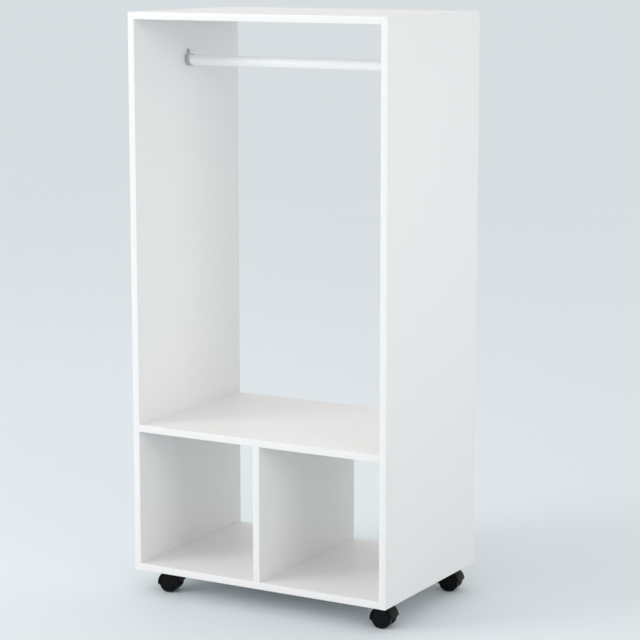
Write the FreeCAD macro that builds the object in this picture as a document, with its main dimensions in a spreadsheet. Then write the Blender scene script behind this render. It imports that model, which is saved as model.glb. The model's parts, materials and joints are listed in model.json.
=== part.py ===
"""Rolling clothes rack: an open board carcass with a hanging rail, a shelf, two open cubes and casters.

Millimetres. The origin is on the floor under the middle of the carcass, +Z is up and the open front
faces -Y. Every driving size is a cell of the sheet "Sizes", and every other size is a formula of them.
"""

import FreeCAD, Part
import os
import re

import Sketcher

SIZES = [
    # alias, value, what it is
    ("carcass_width", 600, "over the two side panels"),
    ("carcass_depth", 400, "over the front and rear edging"),
    ("carcass_height", 1170, "side panels, end to end"),
    ("board", 15, "board thickness"),
    ("cube_height", 284, "clear height of the two lower cubes"),
    ("edging", 0.8, "thickness of the edging strips"),
    ("joint_fit", 0.1, "radial clearance of a cam or a dowel in its hole"),
    ("cam_from_edge", 100, "cam to the front or rear edge of the board"),
    ("cam_from_end", 34, "cam centre to the end of the board"),
    ("cam_radius", 7.5, "cam lock"),
    ("cam_cover", 2.2, "board left over a cam pocket"),
    ("cam_pocket_floor", 0.3, "clearance behind the cam lock"),
    ("cam_slot_width", 1.4, "driver slot in the face of the cam"),
    ("cam_slot_depth", 2, "driver slot in the face of the cam"),
    ("bolt_channel_radius", 4.2, "channel for the cam bolt in the board end"),
    ("bolt_thread_radius", 2.5, "cam bolt, where it screws into the side"),
    ("bolt_thread_length", 11, "cam bolt, in the side"),
    ("bolt_collar_radius", 3.6, "cam bolt collar"),
    ("bolt_collar_length", 2, "cam bolt collar"),
    ("bolt_shank_radius", 3, "cam bolt between its collar and its neck"),
    ("bolt_neck_radius", 2, "cam bolt neck behind its head"),
    ("bolt_neck_length", 4.5, "cam bolt neck"),
    ("bolt_head_radius", 3.4, "cam bolt head"),
    ("bolt_head_length", 3, "cam bolt head"),
    ("dowel_from_edge", 140, "dowel to the front or rear edge of the board"),
    ("dowel_radius", 4, "wooden dowel"),
    ("dowel_length", 30, "wooden dowel"),
    ("dowel_in_face", 10.5, "length of a dowel that sits in a board face"),
    ("dowel_bottoming", 0.5, "clearance past the end of a dowel"),
    ("dowel_chamfer", 0.8, "chamfer on each end of a dowel"),
    ("long_screw_length", 50, "screw up into the divider"),
    ("long_screw_radius", 2.5, "shank of that screw"),
    ("long_screw_head_radius", 4.6, "head of that screw"),
    ("long_screw_head", 3, "head height of that screw"),
    ("rail_radius", 11, "hanging rail"),
    ("rail_wall", 1.2, "hanging rail wall"),
    ("rail_drop", 105.5, "top of the carcass to the rail axis"),
    ("rail_end_gap", 0.9, "screw head in the cup to the end of the rail"),
    ("rail_clearance", 0.3, "rail to the inside of its cups"),
    ("cup_wall", 1.2, "wall of the rail cup"),
    ("cup_reach", 12, "cup, from the side panel"),
    ("cup_lean", 9, "lean of the cup's mouth, back towards the side panel"),
    ("cup_above_rail", 0.5, "open top of the cup above the top of the rail"),
    ("cup_plate", 1.6, "back plate of the cup"),
    ("ear_width", 10, "screw ear above the cup"),
    ("ear_above_rail", 13, "top of the ear above the top of the rail"),
    ("small_screw_radius", 1.75, "shank of the short screws"),
    ("small_screw_length", 13, "short screw under its head"),
    ("small_screw_head_radius", 3.3, "head of the short screws"),
    ("small_screw_head", 2, "head height of the short screws"),
    ("screw_point", 3, "length of a screw's point"),
    ("plate_hole_clearance", 0.35, "radial clearance of a short screw in a plate"),
    ("caster_inset_side", 43.5, "swivel axis to the outside of the side panel"),
    ("caster_inset_front", 50, "swivel axis to the front or rear edge"),
    ("plate_width", 42, "square mounting plate"),
    ("plate_thickness", 2, "mounting plate"),
    ("plate_corner", 4, "corner radius of the mounting plate"),
    ("plate_screw_pitch", 32, "square pattern of the plate's screws"),
    ("wheel_radius", 21, "wheel"),
    ("wheel_width", 13.5, "one wheel"),
    ("wheel_gap", 11, "between the two wheels of a caster"),
    ("wheel_wall", 2.4, "rim and face of a wheel"),
    ("wheel_edge", 1.6, "eased edge of the tread"),
    ("wheel_crown", 0.8, "how far the middle of the face stands proud of its edge"),
    ("hub_radius", 5.5, "wheel hub"),
    ("hub_side_gap", 0.3, "wheel hub to the web"),
    ("trail", 14, "swivel axis to the wheel axis"),
    ("axle_radius", 2.5, "wheel axle"),
    ("axle_fit", 0.05, "running clearance of a wheel on its axle"),
    ("axle_end_gap", 0.5, "end of the axle to the blind end of the wheel's bore"),
    ("axle_chamfer", 0.4, "chamfer on the ends of the axle and the pin"),
    ("hood_gap", 1.5, "tread to the inside of the hood"),
    ("hood_wall", 1.8, "hood"),
    ("hood_headroom", 3.7, "top of the hood to the mounting plate"),
    ("hood_front_angle", 195, "hood lip ahead of the wheels, from the trailing side"),
    ("hood_rear_angle", 2, "hood lip behind the wheels"),
    ("web_thickness", 5, "web between the wheels"),
    ("web_inset", 4, "tread to the rim of the web's round part, where the hood does not reach"),
    ("boss_side_gap", 0.5, "socket for the swivel pin to the back of each wheel"),
    ("boss_above_axle", 3, "lower end of that socket above the wheel axis"),
    ("boss_floor", 3, "material under the swivel pin"),
    ("pin_radius", 3, "swivel pin"),
    ("pin_fit", 0.05, "running clearance of the swivel pin"),
    ("pin_end_gap", 0.6, "end of the pin to the floor of its socket"),
    ("washer_radius", 7, "thrust washer"),
    ("washer_thickness", 1.2, "thrust washer"),
    ("washer_gap", 0.15, "thrust washer to the socket and to the plate"),
    ("ring_above_end", 2.5, "retaining ring above the lower end of the pin"),
    ("ring_thickness", 1, "retaining ring"),
    ("ring_radial", 1.4, "retaining ring, inside to outside"),
    ("ring_groove_depth", 0.6, "groove in the pin"),
    ("ring_gap", 0.15, "clearance all round the retaining ring"),
    ("ring_opening", 50, "open angle of the retaining ring"),
    ("swivel_front_left", 11, "rest angle of each caster about its swivel axis"),
    ("swivel_front_right", 4, "rest angle"),
    ("swivel_rear_left", -6, "rest angle"),
    ("swivel_rear_right", 7, "rest angle"),
]

# Formulas that several pieces share. Inside the carcass, heights are above its underside.
INNER_HALF = "(carcass_width / 2 - board)"
CORE_HALF_DEPTH = "(carcass_depth / 2 - edging)"
CAM_Y = "(carcass_depth / 2 - cam_from_edge)"
DOWEL_Y = "(carcass_depth / 2 - dowel_from_edge)"
SHELF_BASE = "(board + cube_height)"
TOP_BASE = "(carcass_height - board)"
RAIL_HEIGHT = "(carcass_height - rail_drop)"
DOWEL_IN_END = "(dowel_length - dowel_in_face)"
LONG_SCREW_Y = CAM_Y
CAM_DEPTH = "(board - cam_cover - cam_pocket_floor)"
RAIL_END = f"({INNER_HALF} - cup_plate - small_screw_head - rail_end_gap)"
CUP_RISE = "(rail_radius + cup_above_rail)"
EAR_SCREW_RISE = "(rail_radius + ear_above_rail - ear_width / 2)"
CASTER_X = "(carcass_width / 2 - caster_inset_side)"
CASTER_Y = "(carcass_depth / 2 - caster_inset_front)"
SCREW_HALF_PITCH = "(plate_screw_pitch / 2)"
HOOD_INNER = "(wheel_radius + hood_gap)"
HOOD_OUTER = "(wheel_radius + hood_gap + hood_wall)"
PLATE_BASE = f"(wheel_radius + {HOOD_OUTER} + hood_headroom)"
FLOOR_TO_CARCASS = f"({PLATE_BASE} + plate_thickness)"
TWIN_HALF = "(wheel_gap / 2 + wheel_width)"
BOSS_RADIUS = "(wheel_gap / 2 - boss_side_gap)"
BOSS_BASE = "(wheel_radius + boss_above_axle)"
WEB_RADIUS = "(wheel_radius - web_inset)"
BOSS_TOP = f"({PLATE_BASE} - washer_thickness - 2 * washer_gap)"
SOCKET_FLOOR = f"({BOSS_BASE} + boss_floor)"
PIN_BASE = f"({SOCKET_FLOOR} + pin_end_gap)"
RING_BASE = f"({PIN_BASE} + ring_above_end)"
RING_INNER = "(pin_radius - ring_groove_depth + ring_gap)"
RING_OUTER = f"({RING_INNER} + ring_radial)"
AXLE_HALF = "(wheel_gap / 2 + wheel_width - wheel_wall - axle_end_gap)"
SMALL_HOLE = "(small_screw_radius + plate_hole_clearance)"

BOARD_HEIGHTS = {"bottom_panel": "0", "shelf_panel": SHELF_BASE, "top_panel": TOP_BASE}
SIDES = {"left": -1, "right": 1}
ENDS = {"front": -1, "rear": 1}

doc = FreeCAD.newDocument("rolling_clothes_rack")
sheet = doc.addObject("Spreadsheet::Sheet", "Sizes")
for row, (alias, size, note) in enumerate(SIZES, start=1):
    sheet.set(f"A{row}", alias)
    sheet.set(f"B{row}", str(size))
    sheet.setAlias(f"B{row}", alias)
    sheet.set(f"C{row}", note)
doc.recompute()

ALIASES = {alias for alias, _, _ in SIZES}
nodes = []


# ---- formulas -------------------------------------------------------------------------------------

def bound(formula):
    """The formula with each alias written as a cell of the sheet, for setExpression."""
    return re.sub(r"[a-z][a-z_]*", lambda m: f"Sizes.{m[0]}" if m[0] in ALIASES else m[0], formula)


def number(formula):
    """The formula's present value."""
    return float(sheet.evalExpression(formula))


def signed(sign, formula):
    """The formula, or its negative."""
    return f"({sign} * {formula})"


def bind(thing, **formulas):
    """Tie properties to formulas. A double underscore in a name stands for a dot."""
    for name, formula in formulas.items():
        thing.setExpression(name.replace("__", "."), bound(formula))
    return thing


def place(thing, x="0", y="0", z="0", turn="0", axis=(0, 0, 1)):
    """Stand a piece at x, y, z, turned about the axis through its own origin."""
    thing.Placement = FreeCAD.Placement(
        FreeCAD.Vector(number(x), number(y), number(z)),
        FreeCAD.Rotation(FreeCAD.Vector(*axis), 1),
    )
    return bind(
        thing,
        Placement__Base__x=x,
        Placement__Base__y=y,
        Placement__Base__z=z,
        Placement__Rotation__Angle=turn,
    )


# ---- PartDesign -----------------------------------------------------------------------------------

def new_body(name):
    """An empty body with its origin planes made."""
    body = doc.addObject("PartDesign::Body", name)
    doc.recompute()
    return body


def plane(body, role):
    """One of the body's own origin planes."""
    return next(f for f in body.Origin.OriginFeatures if f.Role == role)


def new_sketch(body, name, role, across="0", lift="0"):
    """A sketch on an origin plane, moved along the plane and off it."""
    sketch = body.newObject("Sketcher::SketchObject", name)
    sketch.AttachmentSupport = [(plane(body, role), "")]
    sketch.MapMode = "FlatFace"
    return bind(sketch, AttachmentOffset__Base__x=across, AttachmentOffset__Base__z=lift)


def pin_point(sketch, geometry, point, across, up):
    """Hold a sketch point at two formulas, measured from the sketch's origin."""
    for kind, formula in (("DistanceX", across), ("DistanceY", up)):
        index = sketch.addConstraint(
            Sketcher.Constraint(kind, -1, 1, geometry, point, number(formula))
        )
        sketch.setExpression(f"Constraints[{index}]", bound(formula))


def outline(sketch, points):
    """A closed outline of straight lines through the points, each held by its two formulas."""
    corners = [FreeCAD.Vector(number(across), number(up), 0) for across, up in points]
    last = len(corners)
    for i in range(last):
        sketch.addGeometry(Part.LineSegment(corners[i], corners[(i + 1) % last]), False)
    for i in range(last):
        sketch.addConstraint(Sketcher.Constraint("Coincident", i, 2, (i + 1) % last, 1))
    for i, (across, up) in enumerate(points):
        pin_point(sketch, i, 1, across, up)
    return sketch


def circles(sketch, radius, centres):
    """One circle of the same radius at each centre."""
    for across, up in centres:
        centre = FreeCAD.Vector(number(across), number(up), 0)
        circle = Part.Circle(centre, FreeCAD.Vector(0, 0, 1), number(radius))
        index = sketch.addGeometry(circle, False)
        pin_point(sketch, index, 3, across, up)
        size = sketch.addConstraint(Sketcher.Constraint("Radius", index, number(radius)))
        sketch.setExpression(f"Constraints[{size}]", bound(radius))
    return sketch


def rectangle(half_width, low, high):
    """The corners of a rectangle centred across and running from low to high."""
    return [
        (f"-{half_width}", low),
        (half_width, low),
        (half_width, high),
        (f"-{half_width}", high),
    ]


def pad(body, sketch, length, backwards=False):
    """Grow a sketch into a solid, along the plane's normal or backwards from it."""
    feature = body.newObject("PartDesign::Pad", f"{sketch.Name}_pad")
    feature.Profile = sketch
    feature.Reversed = backwards
    bind(feature, Length=length)
    doc.recompute()
    return feature


def pocket(body, sketch, depth, along_normal=False):
    """Drill or mill a sketch out of the body, and make sure that something was cut."""
    before = body.Shape.Volume
    feature = body.newObject("PartDesign::Pocket", f"{sketch.Name}_pocket")
    feature.Profile = sketch
    feature.Reversed = along_normal
    bind(feature, Length=depth)
    doc.recompute()
    if body.Shape.Volume >= before:
        raise ValueError(f"{feature.Name} cuts nothing")
    return feature


def mirror(body, features, role):
    """Repeat features on the other side of an origin plane."""
    feature = body.newObject("PartDesign::Mirrored", f"{features[0].Name}_mirrored")
    feature.Originals = features
    feature.MirrorPlane = (plane(body, role), [""])
    body.Tip = feature
    doc.recompute()
    return feature


def revolved(name, role, points, axis, across="0", lift="0"):
    """A body turned from an outline about one of its sketch's axes."""
    body = new_body(name)
    sketch = outline(new_sketch(body, f"{name}_profile", role, across, lift), points)
    feature = body.newObject("PartDesign::Revolution", f"{name}_turned")
    feature.Profile = sketch
    feature.ReferenceAxis = (sketch, [axis])
    feature.Angle = 360
    doc.recompute()
    return body


# ---- Part primitives ------------------------------------------------------------------------------

def box(name, length, width, height, x="0", y="0", z="0"):
    """A box with its low corner at x, y, z."""
    solid = bind(doc.addObject("Part::Box", name), Length=length, Width=width, Height=height)
    return place(solid, x, y, z)


def cylinder(name, radius, height, x="0", y="0", z="0", turn="0", axis=(0, 0, 1)):
    """A cylinder whose low end is at x, y, z, its axis turned from +Z."""
    solid = bind(doc.addObject("Part::Cylinder", name), Radius=radius, Height=height)
    return place(solid, x, y, z, turn, axis)


def joined(name, solids):
    """The union of solids."""
    feature = doc.addObject("Part::MultiFuse", name)
    feature.Shapes = solids
    return feature


def minus(name, base, tool):
    """One solid cut out of another."""
    feature = doc.addObject("Part::Cut", name)
    feature.Base = base
    feature.Tool = tool
    return feature


def copy(source, name, x, y, z, turn="0", axis=(0, 0, 1)):
    """The same piece again, somewhere else."""
    feature = doc.addObject("Part::Compound", name)
    feature.Links = [source]
    return place(feature, x, y, z, turn, axis)


def group(name, pieces):
    """Separate solids of one kind, kept as one node."""
    feature = doc.addObject("Part::Compound", name)
    feature.Links = pieces
    return feature


def keep(thing, name):
    """Name a finished piece as a node."""
    thing.Label = name
    nodes.append(thing)
    return thing


# ---- the carcass ----------------------------------------------------------------------------------

def board_line(y_formula):
    """Where a fitting of the side panels stands: both places along the depth, on every cross board."""
    return [
        (signed(end, y_formula), f"({base} + board / 2)")
        for base in BOARD_HEIGHTS.values()
        for end in ENDS.values()
    ]


def side_panel(side, sign):
    """A full-height side, drilled on its inner face, which is the body's own YZ plane."""
    leftward = sign < 0
    body = new_body(f"{side}_side")
    face = outline(
        new_sketch(body, f"{side}_side_face", "YZ_Plane"),
        rectangle(CORE_HALF_DEPTH, "edging", "(carcass_height - edging)"),
    )
    pad(body, face, "board", backwards=leftward)
    drillings = [
        ("bolt", "bolt_thread_radius", "bolt_thread_length", board_line(CAM_Y)),
        ("dowel", "(dowel_radius + joint_fit)", "(dowel_in_face + dowel_bottoming)", board_line(DOWEL_Y)),
        (
            "rail_screw",
            "small_screw_radius",
            "(small_screw_length - cup_plate)",
            [("0", RAIL_HEIGHT), ("0", f"({RAIL_HEIGHT} + {EAR_SCREW_RISE})")],
        ),
    ]
    for what, radius, depth, centres in drillings:
        sketch = circles(new_sketch(body, f"{side}_{what}_holes", "YZ_Plane"), radius, centres)
        pocket(body, sketch, depth, along_normal=not leftward)
    place(body, signed(sign, INNER_HALF), "0", FLOOR_TO_CARCASS)
    return keep(body, f"{side}_side_panel")


def cross_board(name):
    """A board between the sides: cam pockets underneath, bolt channels and dowel holes in its ends."""
    body = new_body(f"{name}_board")
    face = outline(
        new_sketch(body, f"{name}_face", "XY_Plane"),
        rectangle(INNER_HALF, f"-{CORE_HALF_DEPTH}", CORE_HALF_DEPTH),
    )
    pad(body, face, "board")
    ends = []
    for what, radius, depth, across in (
        ("channel", "bolt_channel_radius", "cam_from_end", CAM_Y),
        ("dowel", "(dowel_radius + joint_fit)", f"({DOWEL_IN_END} + dowel_bottoming)", DOWEL_Y),
    ):
        sketch = circles(
            new_sketch(body, f"{name}_{what}_end", "YZ_Plane", lift=INNER_HALF),
            radius,
            [(signed(end, across), "board / 2") for end in ENDS.values()],
        )
        ends.append(pocket(body, sketch, depth))
    mirror(body, ends, "YZ_Plane")
    cams = circles(
        new_sketch(body, f"{name}_cam_pockets", "XY_Plane"),
        "(cam_radius + joint_fit)",
        [
            (signed(side, f"({INNER_HALF} - cam_from_end)"), signed(end, CAM_Y))
            for side in SIDES.values()
            for end in ENDS.values()
        ],
    )
    pocket(body, cams, "(board - cam_cover)", along_normal=True)
    place(body, "0", "0", f"({FLOOR_TO_CARCASS} + {BOARD_HEIGHTS[name]})")
    return keep(body, name)


def drill_shelf(body):
    """Holes in the underside of the shelf for the divider's dowels."""
    sketch = circles(
        new_sketch(body, "shelf_divider_holes", "XY_Plane"),
        "(dowel_radius + joint_fit)",
        [("0", signed(end, DOWEL_Y)) for end in ENDS.values()],
    )
    pocket(body, sketch, "(dowel_in_face + dowel_bottoming)", along_normal=True)


def drill_bottom(body):
    """Pilot holes for the casters, and through holes with seats for the screws into the divider."""
    corners = [
        (
            f"({side} * {CASTER_X} + {across} * {SCREW_HALF_PITCH})",
            f"({end} * {CASTER_Y} + {along} * {SCREW_HALF_PITCH})",
        )
        for side in SIDES.values()
        for end in ENDS.values()
        for across in (-1, 1)
        for along in (-1, 1)
    ]
    screws = [("0", signed(end, LONG_SCREW_Y)) for end in ENDS.values()]
    for what, radius, depth, centres in (
        ("caster_screw", "small_screw_radius", "(small_screw_length - plate_thickness)", corners),
        ("divider_screw", "long_screw_radius", "board", screws),
        ("divider_screw_seat", "(long_screw_head_radius + joint_fit)", "long_screw_head", screws),
    ):
        sketch = circles(new_sketch(body, f"{what}_holes", "XY_Plane"), radius, centres)
        pocket(body, sketch, depth, along_normal=True)


def divider():
    """The upright board between the cubes, on screws below and dowels above."""
    body = new_body("divider")
    face = outline(
        new_sketch(body, "divider_face", "YZ_Plane"),
        rectangle(CORE_HALF_DEPTH, "0", "cube_height"),
    )
    pad(body, face, "board")
    dowels = circles(
        new_sketch(body, "divider_dowel_holes", "XY_Plane", lift="cube_height"),
        "(dowel_radius + joint_fit)",
        [("board / 2", signed(end, DOWEL_Y)) for end in ENDS.values()],
    )
    pocket(body, dowels, f"({DOWEL_IN_END} + dowel_bottoming)")
    screws = circles(
        new_sketch(body, "divider_pilot_holes", "XY_Plane"),
        "long_screw_radius",
        [("board / 2", signed(end, LONG_SCREW_Y)) for end in ENDS.values()],
    )
    pocket(body, screws, "(long_screw_length - board)", along_normal=True)
    place(body, "-board / 2", "0", f"({FLOOR_TO_CARCASS} + board)")
    return keep(body, "divider_panel")


def side_edging(side, sign):
    """Strips on all four edges of a side panel."""
    low_x = f"({sign} * {INNER_HALF} - {0 if sign > 0 else 1} * board)"
    strips = []
    for end, y in (("front", "-carcass_depth / 2"), ("rear", CORE_HALF_DEPTH)):
        strips.append(
            box(f"{side}_{end}_strip", "board", "edging", "carcass_height", low_x, y, FLOOR_TO_CARCASS)
        )
    for end, z in (("foot", FLOOR_TO_CARCASS), ("head", f"({FLOOR_TO_CARCASS} + carcass_height - edging)")):
        strips.append(
            box(
                f"{side}_{end}_strip",
                "board",
                f"(2 * {CORE_HALF_DEPTH})",
                "edging",
                low_x,
                f"-{CORE_HALF_DEPTH}",
                z,
            )
        )
    return keep(group(f"{side}_edging", strips), f"{side}_side_edging")


def front_and_rear_edging(name, x, length, z, height):
    """Strips on the front and rear edges of a board that stands between others."""
    strips = [
        box(f"{name}_{end}_strip", length, "edging", height, x, y, z)
        for end, y in (("front", "-carcass_depth / 2"), ("rear", CORE_HALF_DEPTH))
    ]
    return keep(group(f"{name}_edges", strips), name)


# ---- fittings inside the carcass ------------------------------------------------------------------

def cam_locks():
    """A slotted cam in every cam pocket, open towards the board's end for the bolt's head."""
    disc = cylinder("cam_disc", "cam_radius", CAM_DEPTH)
    hollow = box(
        "cam_hollow",
        "(cam_radius + bolt_head_length)",
        "(2 * bolt_head_radius + 1)",
        "(2 * bolt_head_radius + 1)",
        "-bolt_head_length",
        "-(bolt_head_radius + 0.5)",
        "(board / 2 - bolt_head_radius - 0.5)",
    )
    slot = box(
        "cam_driver_slot",
        "(1.4 * cam_radius)",
        "cam_slot_width",
        "cam_slot_depth",
        "-0.7 * cam_radius",
        "-cam_slot_width / 2",
    )
    cam = minus("cam", disc, joined("cam_openings", [hollow, slot]))
    copies = []
    for name, base in BOARD_HEIGHTS.items():
        for side, sign in SIDES.items():
            for end, way in ENDS.items():
                copies.append(
                    copy(
                        cam,
                        f"cam_{name}_{side}_{end}",
                        signed(sign, f"({INNER_HALF} - cam_from_end)"),
                        signed(way, CAM_Y),
                        f"({FLOOR_TO_CARCASS} + {base})",
                        "0" if sign > 0 else "180",
                    )
                )
    return keep(group("cam_lock_group", copies), "cam_locks")


def cam_bolts():
    """A bolt in each side for every cam. It is turned about X, with the side's inner face at 0."""
    head = "(cam_from_end + bolt_head_length / 2)"
    neck = "(cam_from_end - bolt_head_length / 2)"
    shank = "(cam_from_end - bolt_head_length / 2 - bolt_neck_length)"
    bolt = revolved(
        "cam_bolt",
        "XY_Plane",
        [
            ("-bolt_thread_length", "0"),
            ("-bolt_thread_length", "bolt_thread_radius"),
            ("0", "bolt_thread_radius"),
            ("0", "bolt_collar_radius"),
            ("bolt_collar_length", "bolt_collar_radius"),
            ("bolt_collar_length", "bolt_shank_radius"),
            (shank, "bolt_shank_radius"),
            (shank, "bolt_neck_radius"),
            (neck, "bolt_neck_radius"),
            (neck, "bolt_head_radius"),
            (head, "bolt_head_radius"),
            (head, "0"),
        ],
        "H_Axis",
    )
    copies = []
    for name, base in BOARD_HEIGHTS.items():
        for side, sign in SIDES.items():
            for end, way in ENDS.items():
                copies.append(
                    copy(
                        bolt,
                        f"bolt_{name}_{side}_{end}",
                        signed(sign, INNER_HALF),
                        signed(way, CAM_Y),
                        f"({FLOOR_TO_CARCASS} + {base} + board / 2)",
                        "0" if sign < 0 else "180",
                    )
                )
    return keep(group("cam_bolt_group", copies), "cam_bolts")


def dowel_outline(start):
    """A dowel with eased ends, drawn along its axis from start."""
    end = f"({start} + dowel_length)"
    eased = "(dowel_radius - dowel_chamfer)"
    return [
        (start, "0"),
        (start, eased),
        (f"({start} + dowel_chamfer)", "dowel_radius"),
        (f"({end} - dowel_chamfer)", "dowel_radius"),
        (end, eased),
        (end, "0"),
    ]


def wooden_dowels():
    """Two dowels in each end of every cross board, and two between the divider and the shelf."""
    lying = revolved("lying_dowel", "XY_Plane", dowel_outline("-dowel_in_face"), "H_Axis")
    upright = revolved(
        "upright_dowel",
        "XZ_Plane",
        [(across, up) for up, across in dowel_outline(f"-{DOWEL_IN_END}")],
        "V_Axis",
    )
    copies = []
    for end, way in ENDS.items():
        for name, base in BOARD_HEIGHTS.items():
            for side, sign in SIDES.items():
                copies.append(
                    copy(
                        lying,
                        f"dowel_{name}_{side}_{end}",
                        signed(sign, INNER_HALF),
                        signed(way, DOWEL_Y),
                        f"({FLOOR_TO_CARCASS} + {base} + board / 2)",
                        "0" if sign < 0 else "180",
                    )
                )
        copies.append(
            copy(
                upright,
                f"dowel_divider_{end}",
                "0",
                signed(way, DOWEL_Y),
                f"({FLOOR_TO_CARCASS} + {SHELF_BASE})",
            )
        )
    return keep(group("dowel_group", copies), "wooden_dowels")


def screw_outline():
    """A short screw along its axis: domed head below 0, then the shank and its point."""
    return [
        ("-small_screw_head", "0"),
        ("-small_screw_head", "(small_screw_head_radius * 0.7)"),
        ("-small_screw_head * 0.4", "small_screw_head_radius"),
        ("0", "small_screw_head_radius"),
        ("0", "small_screw_radius"),
        ("(small_screw_length - screw_point)", "small_screw_radius"),
        ("small_screw_length", "0"),
    ]


def divider_screws():
    """Two long screws up through the bottom panel, their flat heads sunk flush with its underside."""
    top = "(long_screw_length - long_screw_head)"
    screw = revolved(
        "long_screw",
        "XZ_Plane",
        [
            ("0", "-long_screw_head"),
            ("long_screw_head_radius", "-long_screw_head"),
            ("long_screw_head_radius", "0"),
            ("long_screw_radius", "0"),
            ("long_screw_radius", f"({top} - screw_point)"),
            ("0", top),
        ],
        "V_Axis",
    )
    copies = [
        copy(
            screw,
            f"long_screw_{end}",
            "0",
            signed(way, LONG_SCREW_Y),
            f"({FLOOR_TO_CARCASS} + long_screw_head)",
        )
        for end, way in ENDS.items()
    ]
    return keep(group("long_screw_group", copies), "divider_screws")


# ---- the hanging rail -----------------------------------------------------------------------------

def hanging_rail():
    """A round tube that lies loose in its two cups."""
    body = new_body("rail")
    section = new_sketch(body, "rail_section", "YZ_Plane")
    circles(section, "rail_radius", [("0", "0")])
    circles(section, "(rail_radius - rail_wall)", [("0", "0")])
    pad(body, section, f"(2 * {RAIL_END})")
    place(body, f"-{RAIL_END}", "0", f"({FLOOR_TO_CARCASS} + {RAIL_HEIGHT})")
    return keep(body, "hanging_rail")


def rail_bracket():
    """The cup that a rail end drops into, with a screw ear above. Its back is the YZ plane."""
    sideways = {"turn": "90", "axis": (0, 1, 0)}
    inner = "(rail_radius + rail_clearance)"
    outer = "(rail_radius + rail_clearance + cup_wall)"
    cup = joined(
        "cup_outside",
        [
            cylinder("cup_round", outer, "cup_reach", **sideways),
            box("cup_cheeks", "cup_reach", f"(2 * {outer})", CUP_RISE, "0", f"-{outer}"),
        ],
    )
    beyond = place(
        box("cup_front", "cup_reach", f"(3 * {outer})", f"(4 * {outer})"),
        "cup_reach",
        f"(-1.5 * {outer})",
        f"-{outer}",
        "-cup_lean",
        (0, 1, 0),
    )
    hollow = joined(
        "cup_inside",
        [
            cylinder("cup_bore", inner, "cup_reach", "cup_plate", **sideways),
            box("cup_mouth", "cup_reach", f"(2 * {inner})", CUP_RISE, "cup_plate", f"-{inner}"),
            beyond,
        ],
    )
    ear = joined(
        "cup_with_ear",
        [
            minus("open_cup", cup, hollow),
            box("ear_blade", "cup_plate", "ear_width", EAR_SCREW_RISE, "0", "-ear_width / 2"),
            cylinder("ear_tip", "ear_width / 2", "cup_plate", z=EAR_SCREW_RISE, **sideways),
        ],
    )
    holes = joined(
        "cup_screw_holes",
        [
            cylinder("cup_screw_hole", SMALL_HOLE, "cup_plate", **sideways),
            cylinder("ear_screw_hole", SMALL_HOLE, "cup_plate", z=EAR_SCREW_RISE, **sideways),
        ],
    )
    return minus("rail_bracket", ear, holes)


def rail_fittings():
    """A bracket on each side panel, and two short screws through each."""
    bracket = rail_bracket()
    screw = revolved("rail_screw", "XY_Plane", screw_outline(), "H_Axis")
    rail_z = f"({FLOOR_TO_CARCASS} + {RAIL_HEIGHT})"
    screws = []
    for side, sign in SIDES.items():
        facing = "0" if sign < 0 else "180"
        placed = copy(bracket, f"{side}_bracket", signed(sign, INNER_HALF), "0", rail_z, facing)
        keep(placed, f"rail_bracket_{side}")
        for rise in ("0", EAR_SCREW_RISE):
            screws.append(
                copy(
                    screw,
                    f"{side}_rail_screw",
                    signed(sign, f"({INNER_HALF} - cup_plate)"),
                    "0",
                    f"({rail_z} + {rise})",
                    "180" if sign < 0 else "0",
                )
            )
    keep(group("rail_screw_group", screws), "rail_bracket_screws")


# ---- casters --------------------------------------------------------------------------------------
# A caster's pieces are drawn on its swivel axis with the floor at 0 and the wheels trailing towards +X.

def caster_plate(corner):
    """The square plate screwed under the carcass."""
    half = "(plate_width / 2)"
    body = new_body(f"{corner}_plate")
    square = outline(
        new_sketch(body, f"{corner}_plate_face", "XY_Plane", lift=PLATE_BASE),
        rectangle(half, f"-{half}", half),
    )
    blank = pad(body, square, "plate_thickness")
    rounded = body.newObject("PartDesign::Fillet", f"{corner}_plate_corners")
    upright = [
        f"Edge{i}"
        for i, edge in enumerate(blank.Shape.Edges, start=1)
        if edge.BoundBox.ZLength > number("plate_thickness") / 2
    ]
    rounded.Base = (blank, upright)
    bind(rounded, Radius="plate_corner")
    doc.recompute()
    screws = circles(
        new_sketch(body, f"{corner}_plate_holes", "XY_Plane", lift=PLATE_BASE),
        SMALL_HOLE,
        [
            (signed(across, SCREW_HALF_PITCH), signed(along, SCREW_HALF_PITCH))
            for across in (-1, 1)
            for along in (-1, 1)
        ],
    )
    pocket(body, screws, "plate_thickness", along_normal=True)
    centre = circles(
        new_sketch(body, f"{corner}_pin_hole", "XY_Plane", lift=PLATE_BASE),
        "pin_radius",
        [("0", "0")],
    )
    pocket(body, centre, "plate_thickness", along_normal=True)
    return body


def swivel_pin(corner):
    """The pin riveted into the plate, with a groove for the retaining ring."""
    groove = "(pin_radius - ring_groove_depth)"
    low = f"({RING_BASE} - ring_gap)"
    high = f"({RING_BASE} + ring_thickness + ring_gap)"
    return revolved(
        f"{corner}_pin",
        "XZ_Plane",
        [
            ("0", PIN_BASE),
            ("(pin_radius - axle_chamfer)", PIN_BASE),
            ("pin_radius", f"({PIN_BASE} + axle_chamfer)"),
            ("pin_radius", low),
            (groove, low),
            (groove, high),
            ("pin_radius", high),
            ("pin_radius", FLOOR_TO_CARCASS),
            ("0", FLOOR_TO_CARCASS),
        ],
        "V_Axis",
    )


def retaining_ring(corner):
    """An open spring ring in the grooves of the pin and its socket."""
    ring = cylinder(f"{corner}_ring_disc", RING_OUTER, "ring_thickness", z=RING_BASE)
    bind(ring, Angle="(360 - ring_opening)")
    hole = cylinder(f"{corner}_ring_hole", RING_INNER, "ring_thickness", z=RING_BASE)
    return minus(f"{corner}_ring", ring, hole)


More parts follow.
